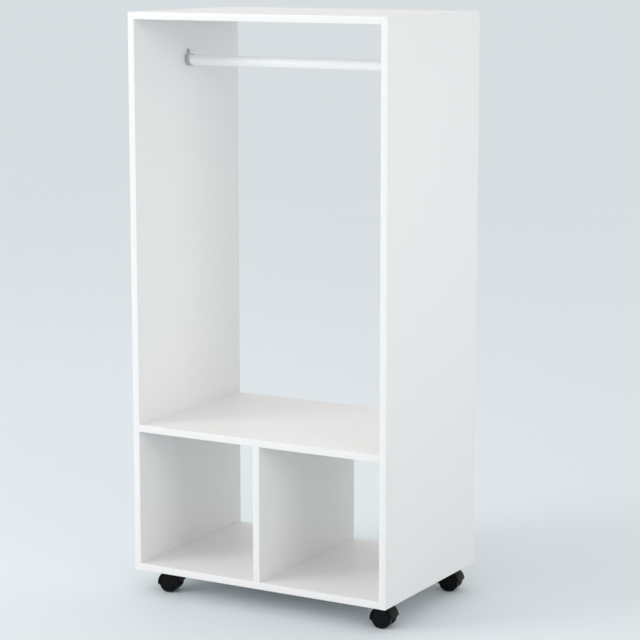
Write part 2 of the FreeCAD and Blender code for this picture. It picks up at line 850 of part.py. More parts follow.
def thrust_washer(corner):
    """The washer that the plate turns on."""
    body = new_body(f"{corner}_washer")
    section = new_sketch(
        body, f"{corner}_washer_face", "XY_Plane", lift=f"({BOSS_TOP} + washer_gap)"
    )
    circles(section, "washer_radius", [("0", "0")])
    circles(section, "(pin_radius + pin_fit)", [("0", "0")])
    pad(body, section, "washer_thickness")
    return body


def wheel_hood(corner):
    """One moulding: hood over both wheels, web between them, and the socket for the swivel pin."""
    lying = {"x": "trail", "z": "wheel_radius", "turn": "90", "axis": (1, 0, 0)}
    blank = cylinder(
        f"{corner}_hood_blank",
        HOOD_OUTER,
        f"(2 * {TWIN_HALF})",
        y=TWIN_HALF,
        turn="90",
        axis=(1, 0, 0),
    )
    bind(blank, Angle="(hood_front_angle - hood_rear_angle)")
    shell = copy(
        blank,
        f"{corner}_hood_sector",
        "trail",
        "0",
        "wheel_radius",
        "-hood_rear_angle",
        (0, 1, 0),
    )
    pockets = [
        cylinder(f"{corner}_wheel_pocket_left", HOOD_INNER, TWIN_HALF, y="-web_thickness / 2", **lying),
        cylinder(
            f"{corner}_wheel_pocket_right",
            HOOD_INNER,
            TWIN_HALF,
            y=f"({TWIN_HALF} + web_thickness / 2)",
            **lying,
        ),
    ]
    hood = minus(f"{corner}_hood_shell", shell, joined(f"{corner}_wheel_pockets", pockets))
    solid = joined(
        f"{corner}_hood_solid",
        [
            hood,
            cylinder(
                f"{corner}_round_web", WEB_RADIUS, "web_thickness", y="web_thickness / 2", **lying
            ),
            cylinder(f"{corner}_boss", BOSS_RADIUS, f"({BOSS_TOP} - {BOSS_BASE})", z=BOSS_BASE),
        ],
    )
    bores = joined(
        f"{corner}_hood_bores",
        [
            cylinder(
                f"{corner}_pin_bore",
                "(pin_radius + pin_fit)",
                f"({BOSS_TOP} - {SOCKET_FLOOR})",
                z=SOCKET_FLOOR,
            ),
            cylinder(
                f"{corner}_ring_bore",
                f"({RING_OUTER} + ring_gap)",
                "(ring_thickness + 2 * ring_gap)",
                z=f"({RING_BASE} - ring_gap)",
            ),
            cylinder(
                f"{corner}_axle_bore", "axle_radius", "web_thickness", y="web_thickness / 2", **lying
            ),
        ],
    )
    return minus(f"{corner}_hood", solid, bores)


def wheel_axle(corner):
    """The steel axle, pressed into the web."""
    eased = "(axle_radius - axle_chamfer)"
    return revolved(
        f"{corner}_axle",
        "XY_Plane",
        [
            ("0", f"-{AXLE_HALF}"),
            (eased, f"-{AXLE_HALF}"),
            ("axle_radius", f"(axle_chamfer - {AXLE_HALF})"),
            ("axle_radius", f"({AXLE_HALF} - axle_chamfer)"),
            (eased, AXLE_HALF),
            ("0", AXLE_HALF),
        ],
        "V_Axis",
        across="trail",
        lift="wheel_radius",
    )


def wheel(corner, end, way):
    """A moulded wheel: hub with a blind bore, crowned outer face and a hollow back towards the web."""
    back = "(wheel_gap / 2)"
    face = f"({TWIN_HALF} - wheel_crown)"
    bore = "(axle_radius + axle_fit)"
    rim = "(wheel_radius - wheel_wall)"
    profile = [
        (bore, "(web_thickness / 2 + hub_side_gap)"),
        ("hub_radius", "(web_thickness / 2 + hub_side_gap)"),
        ("hub_radius", f"({face} - wheel_wall)"),
        (rim, f"({face} - wheel_wall)"),
        (rim, back),
        ("(wheel_radius - wheel_edge / 2)", back),
        ("wheel_radius", f"({back} + wheel_edge / 2)"),
        ("wheel_radius", f"({face} - wheel_edge)"),
        ("(wheel_radius - wheel_edge)", face),
        ("hub_radius", TWIN_HALF),
        ("0", TWIN_HALF),
        ("0", f"({TWIN_HALF} - wheel_wall)"),
        (bore, f"({TWIN_HALF} - wheel_wall)"),
    ]
    return revolved(
        f"{corner}_{end}_wheel",
        "XY_Plane",
        [(radius, signed(way, along)) for radius, along in profile],
        "V_Axis",
        across="trail",
        lift="wheel_radius",
    )


def caster(end, way, side, sign):
    """A twin-wheel caster at one corner. The plate stays square, and the rest follows its swivel angle."""
    corner = f"{end}_{side}"
    at = {"x": signed(sign, CASTER_X), "y": signed(way, CASTER_Y)}
    turn = f"swivel_{corner}"
    for piece, name in (
        (caster_plate(corner), "caster_plate"),
        (swivel_pin(corner), "swivel_pin"),
        (retaining_ring(corner), "retaining_ring"),
    ):
        keep(place(piece, **at), f"{name}_{corner}")
    for piece, name in (
        (thrust_washer(corner), "thrust_washer"),
        (wheel_hood(corner), "wheel_hood"),
        (wheel_axle(corner), "wheel_axle"),
        (wheel(corner, "front", -1), "front_wheel"),
        (wheel(corner, "rear", 1), "rear_wheel"),
    ):
        keep(place(piece, turn=turn, **at), f"{name}_{corner}")


def caster_screws():
    """Four short screws up through each plate into the bottom panel."""
    screw = revolved(
        "caster_screw",
        "XZ_Plane",
        [(radius, along) for along, radius in screw_outline()],
        "V_Axis",
    )
    copies = [
        copy(
            screw,
            "placed_caster_screw",
            f"({sign} * {CASTER_X} + {across} * {SCREW_HALF_PITCH})",
            f"({way} * {CASTER_Y} + {along} * {SCREW_HALF_PITCH})",
            PLATE_BASE,
        )
        for sign in SIDES.values()
        for way in ENDS.values()
        for across in (-1, 1)
        for along in (-1, 1)
    ]
    return keep(group("caster_screw_group", copies), "caster_screws")


# ---- assembly -------------------------------------------------------------------------------------

for side, sign in SIDES.items():
    side_panel(side, sign)
    side_edging(side, sign)
boards = {name: cross_board(name) for name in BOARD_HEIGHTS}
drill_shelf(boards["shelf_panel"])
drill_bottom(boards["bottom_panel"])
divider()
for name, base in BOARD_HEIGHTS.items():
    front_and_rear_edging(
        name.replace("panel", "edging"),
        f"-{INNER_HALF}",
        f"(2 * {INNER_HALF})",
        f"({FLOOR_TO_CARCASS} + {base})",
        "board",
    )
front_and_rear_edging(
    "divider_edging", "-board / 2", "board", f"({FLOOR_TO_CARCASS} + board)", "cube_height"
)
cam_locks()
cam_bolts()
wooden_dowels()
divider_screws()
hanging_rail()
rail_fittings()
for end, way in ENDS.items():
    for side, sign in SIDES.items():
        caster(end, way, side, sign)
caster_screws()

doc.recompute()
for thing in doc.Objects:
    if {"Invalid", "Error"} & set(thing.State):
        raise ValueError(f"{thing.Name} failed: {thing.State}")
os.makedirs("parts", exist_ok=True)
for node in nodes:
    if node.Shape.isNull() or not node.Shape.isValid():
        raise ValueError(f"{node.Label} has no valid shape")
for node in nodes:
    node.Shape.exportStep(f"parts/{node.Label}.step")
print(len(nodes), "nodes written")
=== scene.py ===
"""Looks for the rolling clothes rack: boards and edging, hanging rail, flat-pack fittings and casters.

Metres, in the model's own frame: the origin is on the floor, +Z is up and the open front faces -Y.
The boards and the hidden fittings keep their CAD shapes and get finishes. The edging, the rail, its cups,
the screws and the casters are made again here as smooth surfaces in the same places.
"""

import itertools
import json
import logging
import math
from dataclasses import dataclass, field
from enum import Enum
from typing import Any, Optional, Sequence, Union

import bpy
import numpy as np
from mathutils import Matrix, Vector


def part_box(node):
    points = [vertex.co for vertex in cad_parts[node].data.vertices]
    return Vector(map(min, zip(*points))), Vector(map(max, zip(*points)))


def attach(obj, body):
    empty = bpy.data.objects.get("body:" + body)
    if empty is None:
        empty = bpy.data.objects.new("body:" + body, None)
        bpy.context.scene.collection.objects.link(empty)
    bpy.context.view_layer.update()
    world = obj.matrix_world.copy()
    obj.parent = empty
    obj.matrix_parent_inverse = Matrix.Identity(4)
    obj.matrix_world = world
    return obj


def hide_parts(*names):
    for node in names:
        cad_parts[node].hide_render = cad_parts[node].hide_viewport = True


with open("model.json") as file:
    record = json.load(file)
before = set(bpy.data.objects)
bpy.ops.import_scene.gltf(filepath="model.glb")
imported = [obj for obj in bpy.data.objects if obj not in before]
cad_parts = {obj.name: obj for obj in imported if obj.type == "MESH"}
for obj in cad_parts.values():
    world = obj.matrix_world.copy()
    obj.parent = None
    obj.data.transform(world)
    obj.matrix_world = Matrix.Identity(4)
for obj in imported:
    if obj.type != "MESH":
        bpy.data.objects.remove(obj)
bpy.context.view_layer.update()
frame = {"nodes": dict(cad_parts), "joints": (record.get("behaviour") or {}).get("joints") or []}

log = logging.getLogger("clothes_rack")
Colour = tuple[float, float, float]
Vector3 = tuple[float, float, float]
Operand = Union["Signal", float]


class Axis(Enum):
    """A direction of the model's frame, as the index of its coordinate."""

    X = 0
    Y = 1
    Z = 2


class Side(Enum):
    """A side of the rack, valued by the sign of its X."""

    LEFT = -1
    RIGHT = 1


class End(Enum):
    """The front or the rear of the rack, valued by the sign of its Y."""

    FRONT = -1
    REAR = 1


class Slot(Enum):
    """The names of the record's material slots."""

    EDGING = "white_edging"
    RAIL = "white_rail"
    BRACKET = "bracket_steel"
    SCREW = "black_screw"
    PLATE = "black_plate"
    HOOD = "hood_plastic"
    WHEEL = "wheel_plastic"


# ---- shader writing ----


class Signal:
    """A number that varies over a surface. Python's operators add Math nodes."""

    def __init__(self, graph: "Graph", socket: bpy.types.NodeSocket) -> None:
        """Wrap a socket of the graph's node tree."""
        self.graph = graph
        self.socket = socket

    def _math(self, operation: str, *values: Operand) -> "Signal":
        """Add one Math node with these values on its inputs."""
        node = self.graph.node("ShaderNodeMath", {"operation": operation}, dict(enumerate(values)))
        return Signal(self.graph, node.outputs[0])

    def __add__(self, other: Operand) -> "Signal":
        """This plus other."""
        return self._math("ADD", self, other)

    __radd__ = __add__

    def __sub__(self, other: Operand) -> "Signal":
        """This minus other."""
        return self._math("SUBTRACT", self, other)

    def __rsub__(self, other: Operand) -> "Signal":
        """Other minus this."""
        return self._math("SUBTRACT", other, self)

    def __mul__(self, other: Operand) -> "Signal":
        """This times other."""
        return self._math("MULTIPLY", self, other)

    __rmul__ = __mul__

    def __abs__(self) -> "Signal":
        """The size of this without its sign."""
        return self._math("ABSOLUTE", self)

    def band(self, low: float, high: float) -> "Signal":
        """A signal that rises smoothly from 0 at low to 1 at high.

        Args:
            low: the value that gives 0.
            high: the value that gives 1.

        Returns:
            The new signal.
        """
        node = self.graph.node(
            "ShaderNodeMapRange",
            {"interpolation_type": "SMOOTHSTEP"},
            {"Value": self, "From Min": low, "From Max": high},
        )
        return Signal(self.graph, node.outputs["Result"])


class Graph:
    """The node tree of a material or a world, and the shader on its output."""

    def __init__(self, owner: Union[bpy.types.Material, bpy.types.World]) -> None:
        """Open the node tree of its owner."""
        owner.use_nodes = True
        self.tree = owner.node_tree
        self.shader = next(n for n in self.tree.nodes if n.type in ("BSDF_PRINCIPLED", "BACKGROUND"))

    def node(
        self, kind: str, settings: dict[str, Any], inputs: dict[Union[str, int], Any]
    ) -> bpy.types.Node:
        """Add any node.

        Args:
            kind: the node's type.
            settings: its properties; "stops" holds a ramp's (position, colour) pairs.
            inputs: sockets by name or number, each with a Signal, a socket or a constant.

        Returns:
            The node.
        """
        made = self.tree.nodes.new(kind)
        for name, value in settings.items():
            if name != "stops":
                setattr(made, name, value)
                continue
            elements = made.color_ramp.elements
            while len(elements) < len(value):
                elements.new(1.0)
            for element, (position, colour) in zip(elements, value):
                element.position = position
                element.color = (*colour, 1.0)
        for name, value in inputs.items():
            self.connect(value, made.inputs[name])
        return made

    def connect(self, value: Any, socket: bpy.types.NodeSocket) -> None:
        """Link a signal or a socket to an input, or set the input to a constant.

        Args:
            value: what the input gets.
            socket: the input.
        """
        if isinstance(value, Signal):
            value = value.socket
        if isinstance(value, bpy.types.NodeSocket):
            self.tree.links.new(value, socket)
        elif isinstance(value, tuple) and socket.type == "RGBA":
            socket.default_value = (*value, 1.0)
        else:
            socket.default_value = value

    def place(self, scale: Vector3 = (1.0, 1.0, 1.0)) -> bpy.types.NodeSocket:
        """Object coordinates in metres.

        Args:
            scale: what each coordinate is multiplied by.

        Returns:
            The coordinates' socket.
        """
        coordinates = self.node("ShaderNodeTexCoord", {}, {})
        mapping = self.node(
            "ShaderNodeMapping", {}, {"Vector": coordinates.outputs["Object"], "Scale": scale}
        )
        return mapping.outputs["Vector"]

    def coordinate(self, axis: Axis) -> Signal:
        """One object coordinate in metres."""
        split = self.node("ShaderNodeSeparateXYZ", {}, {"Vector": self.place()})
        return Signal(self, split.outputs[axis.value])

    def noise(self, size: float, detail: float, scale: Vector3 = (1.0, 1.0, 1.0)) -> Signal:
        """Soft noise from 0 to 1.

        Args:
            size: the width of one blotch, in metres.
            detail: how many finer layers it has.
            scale: what each coordinate is multiplied by, below 1 to draw the noise out.

        Returns:
            The noise as a signal.
        """
        node = self.node(
            "ShaderNodeTexNoise",
            {"noise_dimensions": "3D"},
            {"Vector": self.place(scale), "Scale": 1.0 / size, "Detail": detail},
        )
        return Signal(self, node.outputs["Fac"])

    def ramp(self, signal: Signal, stops: Sequence[tuple[float, Colour]]) -> bpy.types.NodeSocket:
        """The colour that a ramp gives for a signal."""
        node = self.node("ShaderNodeValToRGB", {"stops": stops}, {"Fac": signal})
        return node.outputs["Color"]

    def mix(self, share: Operand, low: Any, high: Any) -> bpy.types.NodeSocket:
        """Blend two colours.

        Args:
            share: 0 for low, 1 for high.
            low: a colour or a colour socket.
            high: a colour or a colour socket.

        Returns:
            The blended colour's socket.
        """
        node = self.node("ShaderNodeMix", {"data_type": "RGBA"}, {})
        inputs = {socket.identifier: socket for socket in node.inputs}
        for key, value in (("Factor_Float", share), ("A_Color", low), ("B_Color", high)):
            self.connect(value, inputs[key])
        return next(socket for socket in node.outputs if socket.identifier == "Result_Color")

    def feed(self, socket: str, value: Any) -> None:
        """Link or set one input of the shader."""
        self.connect(value, self.shader.inputs[socket])

    def bump(self, height: Signal, depth: float) -> None:
        """Raise the surface by a height signal, at most depth metres."""
        node = self.node(
            "ShaderNodeBump", {}, {"Height": height * depth, "Strength": 1.0, "Distance": 1.0}
        )
        self.feed("Normal", node.outputs["Normal"])


# ---- finishes ----


class Finish:
    """A surface finish. Each kind feeds the shader in its own way."""

    def material(self, name: str) -> bpy.types.Material:
        """Make a material of this finish.

        Args:
            name: the material's name.

        Returns:
            The material.
        """
        material = bpy.data.materials.new(name)
        self.feed(Graph(material))
        return material

    def feed(self, graph: Graph) -> None:
        """Feed the graph's shader."""
        raise NotImplementedError


@dataclass(frozen=True)
class BoardFace(Finish):
    """White melamine over particle board. The core shows only where the board is drilled."""

    axis: Axis
    low: float
    high: float
    white: Colour = (0.855, 0.85, 0.845)
    tint: Colour = (0.815, 0.81, 0.806)
    roughness: float = 0.30
    skin: float = 0.0003
    relief: float = 0.000035
    chip_stops: tuple[tuple[float, Colour], ...] = (
        (0.3, (0.30, 0.20, 0.11)),
        (0.55, (0.52, 0.38, 0.23)),
        (0.8, (0.70, 0.56, 0.38)),
    )

    def feed(self, graph: Graph) -> None:
        """Feed the shader of a board whose faces stand at low and high along axis.

        Args:
            graph: the graph of the board's material.
        """
        middle = (self.low + self.high) / 2
        half = (self.high - self.low) / 2
        depth = abs(graph.coordinate(self.axis) - middle)
        core = 1.0 - depth.band(half - self.skin, half - self.skin / 2)
        cloud = graph.noise(0.22, 3.0)
        mottle = graph.noise(0.0035, 2.0)
        white = graph.mix(cloud * 0.35 + mottle * 0.25, self.white, self.tint)
        brown = graph.ramp(graph.noise(0.0022, 4.0), self.chip_stops)
        graph.feed("Base Color", graph.mix(core, white, brown))
        handled = graph.noise(0.09, 4.0)
        graph.feed("Roughness", self.roughness + handled * 0.2 + core * 0.4)
        grain = graph.noise(0.0011, 2.0)
        graph.bump(grain + mottle * 0.6, self.relief)


@dataclass(frozen=True)
class EdgeStrip(Finish):
    """Glued plastic edging, a little glossier than the boards, with faint marks of the trimming knife."""

    white: Colour = (0.83, 0.827, 0.822)
    shade: Colour = (0.80, 0.797, 0.792)
    roughness: float = 0.27
    relief: float = 0.00002

    def feed(self, graph: Graph) -> None:
        """Feed the shader of the edging strips.

        Args:
            graph: the graph of its material.
        """
        cloud = graph.noise(0.15, 2.0)
        chatter = graph.noise(0.004, 1.0, (0.3, 6.0, 0.3))
        graph.feed("Base Color", graph.mix(cloud * 0.5, self.white, self.shade))
        graph.feed("Roughness", self.roughness + cloud * 0.1)
        graph.bump(chatter, self.relief)


@dataclass(frozen=True)
class TubePaint(Finish):
    """Gloss white coating on the rail, rubbed by hooks along its top."""

    top: float
    radius: float
    white: Colour = (0.97, 0.97, 0.965)
    rubbed: Colour = (0.90, 0.90, 0.895)
    roughness: float = 0.36
    coat: float = 0.15
    relief: float = 0.000008

    def feed(self, graph: Graph) -> None:
        """Feed the shader of the rail.

        Args:
            graph: the graph of its material.
        """
        height = graph.coordinate(Axis.Z)
        crest = height.band(self.top - self.radius * 0.35, self.top)
        hooks = graph.noise(0.03, 3.0, (1.0, 0.25, 0.25)).band(0.35, 0.8)
        wear = crest * hooks
        graph.feed("Base Color", graph.mix(wear * 0.6, self.white, self.rubbed))
        orange_peel = graph.noise(0.0012, 1.0)
        graph.feed("Roughness", self.roughness + wear * 0.08 + orange_peel * 0.05)
        graph.feed("Coat Weight", self.coat)
        graph.feed("Coat Roughness", 0.15)
        graph.bump(orange_peel, self.relief)


@dataclass(frozen=True)
class PlatedSteel(Finish):
    """Bright plated steel with a fine drawn grain and a few dull spots."""

    light: Colour = (0.57, 0.57, 0.58)
    dark: Colour = (0.38, 0.38, 0.39)
    roughness: float = 0.24
    grain: Vector3 = (1.0, 1.0, 0.06)
    relief: float = 0.000012

    def feed(self, graph: Graph) -> None:
        """Feed the shader of plated steel.

        Args:
            graph: the graph of its material.
        """
        drawn = graph.noise(0.0004, 3.0, self.grain)
        dull = graph.noise(0.006, 4.0).band(0.5, 0.8)
        graph.feed("Base Color", graph.mix(drawn * 0.5 + dull * 0.3, self.light, self.dark))
        graph.feed("Metallic", 1.0)
        graph.feed("Roughness", self.roughness + drawn * 0.12 + dull * 0.2)
        graph.bump(drawn, self.relief)


@dataclass(frozen=True)
class MouldedPlastic(Finish):
    """Black moulded plastic: a fine spark texture, greyed where it is scuffed, dusty near the floor."""

    black: Colour = (0.0035, 0.0035, 0.0038)
    scuffed: Colour = (0.02, 0.02, 0.0215)
    dust: Colour = (0.16, 0.155, 0.15)
    roughness: float = 0.38
    specular: float = 0.1
    texture: float = 0.0006
    relief: float = 0.00004
    dusty_below: float = 0.012

    def feed(self, graph: Graph) -> None:
        """Feed the shader of black plastic.

        Args:
            graph: the graph of its material.
        """
        scuff = graph.noise(0.007, 5.0).band(0.52, 0.78)
        low = 1.0 - graph.coordinate(Axis.Z).band(0.0, self.dusty_below)
        dust = low * graph.noise(0.005, 5.0).band(0.3, 0.9)
        body = graph.mix(scuff * 0.55, self.black, self.scuffed)
        graph.feed("Base Color", graph.mix(dust * 0.3, body, self.dust))
        graph.feed("Roughness", self.roughness + scuff * 0.2 + dust * 0.3)
        graph.feed("Specular IOR Level", self.specular)
        graph.bump(graph.noise(self.texture, 2.0), self.relief)


@dataclass(frozen=True)
class BlackedSteel(Finish):
    """Black e-coat over pressed steel, thin enough to shine at its edges."""

    black: Colour = (0.016, 0.016, 0.017)
    worn: Colour = (0.10, 0.10, 0.105)
    roughness: float = 0.32
    relief: float = 0.00003

    def feed(self, graph: Graph) -> None:
        """Feed the shader of blacked steel.

        Args:
            graph: the graph of its material.
        """
        wear = graph.noise(0.004, 5.0).band(0.58, 0.8)
        graph.feed("Base Color", graph.mix(wear, self.black, self.worn))
        graph.feed("Roughness", self.roughness + wear * 0.25)
        graph.feed("Metallic", wear * 0.5)
        graph.bump(graph.noise(0.0015, 3.0), self.relief)


@dataclass(frozen=True)
class CastZinc(Finish):
    """Dull grey die-cast zinc with a grainy skin."""

    light: Colour = (0.50, 0.51, 0.53)
    dark: Colour = (0.28, 0.29, 0.30)
    roughness: float = 0.48
    relief: float = 0.00006

    def feed(self, graph: Graph) -> None:
        """Feed the shader of cast zinc.

        Args:
            graph: the graph of its material.
        """
        skin = graph.noise(0.0012, 5.0)
        graph.feed("Base Color", graph.mix(skin, self.light, self.dark))
        graph.feed("Metallic", 0.85)
        graph.feed("Roughness", self.roughness + skin * 0.15)
        graph.bump(skin, self.relief)


@dataclass(frozen=True)
class BeechWood(Finish):
    """Turned beech: long pale grain with short dark flecks."""

    light: Colour = (0.62, 0.45, 0.28)
    dark: Colour = (0.42, 0.27, 0.15)
    roughness: float = 0.6
    relief: float = 0.00005

    def feed(self, graph: Graph) -> None:
        """Feed the shader of beech.

        Args:
            graph: the graph of its material.
        """
        grain = graph.noise(0.0012, 4.0, (0.08, 1.0, 1.0))
        fleck = graph.noise(0.0006, 2.0, (0.3, 1.0, 1.0)).band(0.62, 0.7)
        graph.feed("Base Color", graph.mix(grain * 0.7 + fleck * 0.3, self.light, self.dark))
        graph.feed("Roughness", self.roughness + grain * 0.2)
        graph.bump(grain, self.relief)


# ---- surfaces ----


def stage_object(name: str, data: Any) -> bpy.types.Object:
    """A new object with this data, linked into the scene."""
    made = bpy.data.objects.new(name, data)
    bpy.context.scene.collection.objects.link(made)
    return made


def loft(
    name: str,
    rings: np.ndarray,
    poles: Optional[Sequence[np.ndarray]] = None,
    sharp: float = 35.0,
) -> bpy.types.Object:
    """Join a stack of closed rings into one closed surface.

    Each ring is joined to the next by four-sided faces. With poles, both ends close on a point. Without
    them the last ring joins the first. The faces are turned outwards by the sign of the volume they hold.

    Args:
        name: the new object's name.
        rings: points as an array of ring, place round the ring, coordinate.
        poles: the first and last points, or None for a surface that joins up with itself.
        sharp: the angle in degrees past which an edge shades as a crease.

    Returns:
        The object, linked into the scene.
    """
    count, around, _ = rings.shape
    index = np.arange(count * around).reshape(count, around)
    lower = index if poles is None else index[:-1]
    upper = np.roll(index, -1, axis=0) if poles is None else index[1:]
    quads = np.stack(
        [lower, np.roll(lower, -1, axis=1), np.roll(upper, -1, axis=1), upper], axis=-1
    ).reshape(-1, 4)
    vertices = rings.reshape(-1, 3)
    triangles = np.empty((0, 3), dtype=int)
    if poles is not None:
        vertices = np.vstack([vertices, np.asarray(poles, float)])
        first, last = count * around, count * around + 1
        start, stop = index[0], index[-1]
        triangles = np.vstack(
            [
                np.stack([np.full(around, first), np.roll(start, -1), start], axis=-1),
                np.stack([np.full(around, last), stop, np.roll(stop, -1)], axis=-1),
            ]
        )
    halves = np.vstack([quads[:, [0, 1, 2]], quads[:, [0, 2, 3]], triangles])
    a, b, c = (vertices[halves[:, i]] for i in range(3))
    if np.einsum("ij,ij->i", a, np.cross(b, c)).sum() < 0:
        quads, triangles = quads[:, ::-1], triangles[:, ::-1]
    mesh = bpy.data.meshes.new(name)
    mesh.from_pydata(vertices.tolist(), [], quads.tolist() + triangles.tolist())
    mesh.polygons.foreach_set("use_smooth", np.ones(len(mesh.polygons), dtype=bool))
    mesh.set_sharp_from_angle(angle=math.radians(sharp))
    mesh.update()
    return stage_object(name, mesh)


def arc(centre: Sequence[float], radius: float, start: float, stop: float, steps: int) -> np.ndarray:
    """Points on a circular arc: centre + radius (cos t, sin t) for t from start to stop.

    Args:
        centre: the arc's centre, two numbers.
        radius: the arc's radius.
        start: first angle in degrees.
        stop: last angle in degrees.
        steps: how many points.

    Returns:
        The points, one per row.
    """
    angle = np.radians(np.linspace(start, stop, steps))
    return np.asarray(centre) + radius * np.stack([np.cos(angle), np.sin(angle)], axis=-1)


def rounded_box(width: float, height: float, radii: Sequence[float], steps: int = 6) -> np.ndarray:
    """A closed rectangle about the origin, each corner a quarter circle.

    Args:
        width: along the first coordinate.
        height: along the second coordinate.
        radii: corner radii, from the lower left one anticlockwise.
        steps: points on each corner.

    Returns:
        The outline, anticlockwise, one point per row.
    """
    signs = ((-1, -1), (1, -1), (1, 1), (-1, 1))
    corners = []
    for (across, up), radius, start in zip(signs, radii, (180, 270, 0, 90)):
        centre = (across * (width / 2 - radius), up * (height / 2 - radius))
        corners.append(arc(centre, radius, start, start + 90, steps))
    return np.vstack(corners)


def turned(profile: np.ndarray, segments: int) -> np.ndarray:
    """Turn a profile about +Z: (r, h) goes to (r cos t, r sin t, h).

    Args:
        profile: radius and height, one pair per row.
        segments: how many steps round.

    Returns:
        The rings, ready for loft.
    """
    angle = np.arange(segments) * (2 * np.pi / segments)
    radius, height = profile[:, :1], profile[:, 1:]
    return np.stack([radius * np.cos(angle), radius * np.sin(angle), height + 0 * angle], axis=-1)


def stand(points: np.ndarray, axes: Sequence[Sequence[float]], origin: Sequence[float]) -> np.ndarray:
    """Move points from their own axes into the frame: origin + x axes[0] + y axes[1] + z axes[2]."""
    return points @ np.asarray(axes, float) + np.asarray(origin, float)


def join(name: str, parts: Sequence[bpy.types.Object]) -> bpy.types.Object:
    """Put several closed surfaces into one piece.

    Args:
        name: the piece's name.
        parts: the objects; only the first survives.

    Returns:
        The piece.
    """
    piece, chosen = parts[0], list(parts)
    with bpy.context.temp_override(
        active_object=piece, object=piece, selected_editable_objects=chosen, selected_objects=chosen
    ):
        bpy.ops.object.join()
    piece.name = name
    piece.data.name = name
    return piece


def finish_piece(
    piece: bpy.types.Object, body: str, material: bpy.types.Material, node: str
) -> None:
    """Dress a new piece, let it ride on its body and stand for a CAD node.

    Args:
        piece: the new object.
        body: the CAD body that it moves with.
        material: its finish.
        node: the CAD node that it replaces.
    """
    piece.data.materials.clear()
    piece.data.materials.append(material)
    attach(piece, body)
    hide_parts(node)
    log.info("%s: %d faces on %s", piece.name, len(piece.data.polygons), body)


def dress(node: str, material: bpy.types.Material) -> None:
    """Give a CAD node its finish.

    Args:
        node: the node's name.
        material: its finish.
    """
    mesh = frame["nodes"][node].data
    mesh.materials.clear()
    mesh.materials.append(material)
    log.info("%s: finish %s", node, material.name)


def box(node: str) -> tuple[np.ndarray, np.ndarray]:
    """The lowest and highest corners of a CAD node at rest."""
    low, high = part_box(node)
    return np.array(low), np.array(high)


def joint(name: str) -> dict[str, Any]:
    """The record's joint of this name."""
    return next(j for j in frame["joints"] if j["name"] == name)


# ---- sub-assemblies ----


@dataclass
class Carcass:
    """The six boards, their edging and the fittings hidden in them."""

    body: str = "carcass"
    edging_thickness: float = 0.0008
    edge_radius: float = 0.00065
    boards: dict[str, Axis] = field(
        default_factory=lambda: {
            "left_side_panel": Axis.X,
            "right_side_panel": Axis.X,
            "divider_panel": Axis.X,
            "top_panel": Axis.Z,
            "shelf_panel": Axis.Z,
            "bottom_panel": Axis.Z,
        }
    )

    def dress_boards(self) -> None:
        """Give each board its melamine faces."""
        for node, axis in self.boards.items():
            low, high = box(node)
            face = BoardFace(axis, float(low[axis.value]), float(high[axis.value]))
            dress(node, face.material(f"{node}_melamine"))

    def strip(
        self, name: str, low: np.ndarray, high: np.ndarray, out: Axis, sign: int
    ) -> bpy.types.Object:
        """One edging strip: a rectangle with its two outer corners rounded, carried along its length.

        Args:
            name: the strip's name.
            low: its low corner.
            high: its high corner.
            out: the axis that its outer face looks along.
            sign: which way along that axis.

        Returns:
            The strip.
        """
        size = high - low
        others = [axis for axis in Axis if axis != out]
        length_axis = max(others, key=lambda axis: size[axis.value])
        width_axis = min(others, key=lambda axis: size[axis.value])
        outer, glued = self.edge_radius, self.edge_radius / 8
        outline = rounded_box(size[width_axis.value], size[out.value], (glued, glued, outer, outer))
        half = size[length_axis.value] / 2
        rings = np.zeros((2, len(outline), 3))
        rings[:, :, :2] = outline
        rings[:, :, 2] = [[-half], [half]]
        unit = np.eye(3)
        axes = (unit[width_axis.value], sign * unit[out.value], unit[length_axis.value])
        centre = (low + high) / 2
        caps = stand(np.array([[0, 0, -half], [0, 0, half]]), axes, centre)
        return loft(name, stand(rings, axes, centre), caps)

    def edging(self, node: str, material: bpy.types.Material) -> None:
        """All the strips of one board: front and rear, and on a side panel its foot and head too.

        Args:
            node: the CAD node that the strips replace.
            material: their finish.
        """
        low, high = box(node)
        inset = np.array([0, self.edging_thickness, 0])
        lift = np.array([0, 0, self.edging_thickness])
        front_high = np.array([high[0], low[1] + self.edging_thickness, high[2]])
        rear_low = np.array([low[0], high[1] - self.edging_thickness, low[2]])
        strips = [
            self.strip(f"{node}_front", low, front_high, Axis.Y, -1),
            self.strip(f"{node}_rear", rear_low, high, Axis.Y, 1),
        ]
        if "side" in node:
            foot_high = np.array([high[0], high[1], low[2]]) - inset + lift
            head_low = np.array([low[0], low[1], high[2]]) + inset - lift
            strips.append(self.strip(f"{node}_foot", low + inset, foot_high, Axis.Z, -1))
            strips.append(self.strip(f"{node}_head", head_low, high - inset, Axis.Z, 1))
        piece = join(f"{node}_strips", strips)
        finish_piece(piece, self.body, material, node)

    def build(self) -> None:
        """Make the edging, and dress the boards and the fittings."""
        self.dress_boards()
        strip = EdgeStrip().material("white_edging_plastic")
        for node in self.boards:
            self.edging(node.replace("panel", "edging"), strip)
        dress("cam_locks", CastZinc().material("cast_zinc"))
        zinc = PlatedSteel(light=(0.62, 0.64, 0.68)).material("zinc_plated_steel")
        dress("cam_bolts", zinc)
        dress("divider_screws", zinc)
        dress("wooden_dowels", BeechWood().material("beech"))


